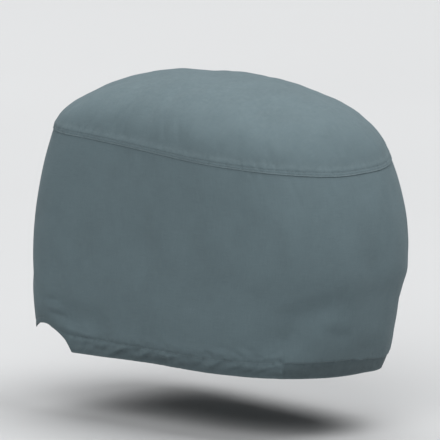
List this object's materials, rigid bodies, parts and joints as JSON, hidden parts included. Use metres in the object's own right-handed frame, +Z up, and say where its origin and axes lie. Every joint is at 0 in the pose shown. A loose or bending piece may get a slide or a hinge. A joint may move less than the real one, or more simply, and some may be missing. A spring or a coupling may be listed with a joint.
{
  "type": "outboard motor cover",
  "caption": "Fitted coated-cloth cover for a large outboard motor's cowl: a skirt with a gathered hem casing, raised at the front over the rigging, and a domed crown.",
  "frame": {"origin": "under the crown on the centre plane, at the cover's highest point, where the motor's cowl carries it", "axes": "+X aft, +Y to starboard, +Z up"},
  "size_m": [0.8909, 0.5726, 0.6421],
  "materials": {
    "cover_cloth": "matte woven polyester, slate grey"
  },
  "bodies": {
    "root": {"skirt": "cover_cloth", "crown": "cover_cloth"}
  },
  "joints": []
}
